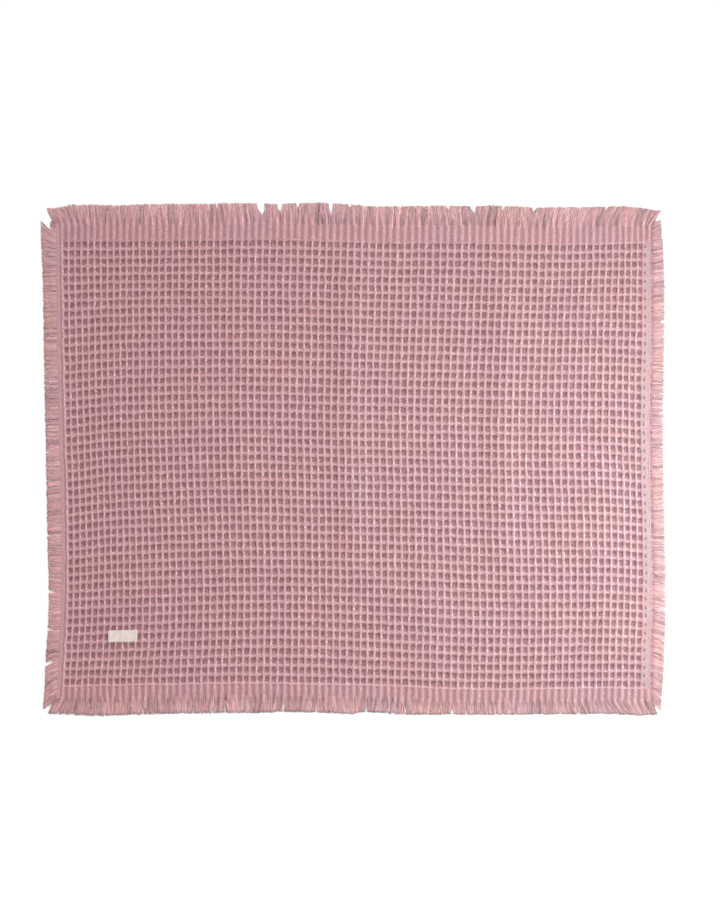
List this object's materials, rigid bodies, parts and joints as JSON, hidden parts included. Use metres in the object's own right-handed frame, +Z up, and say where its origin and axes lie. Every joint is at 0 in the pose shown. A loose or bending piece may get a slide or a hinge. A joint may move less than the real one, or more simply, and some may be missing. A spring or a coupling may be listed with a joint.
{
  "type": "flat fringed baby blanket",
  "caption": "Chunky waffle-weave cotton baby blanket, laid flat, with plain selvedges, a fringe on every side and a small sewn-on label.",
  "frame": {"origin": "under the middle of the outline, fringe included, on the surface that the blanket lies on", "axes": "+X along the long side, +Y across from the label's edge to the far edge, +Z up through the thickness"},
  "size_m": [1.053, 0.8656, 0.0075],
  "materials": {
    "cotton": "dusty pink cotton yarn, matt and slightly fuzzy",
    "label_tape": "cream woven tape, matt"
  },
  "bodies": {
    "root": {"cloth": "cotton", "fringe_top": "cotton", "fringe_bottom": "cotton", "fringe_left": "cotton", "fringe_right": "cotton", "label": "label_tape"}
  },
  "joints": []
}
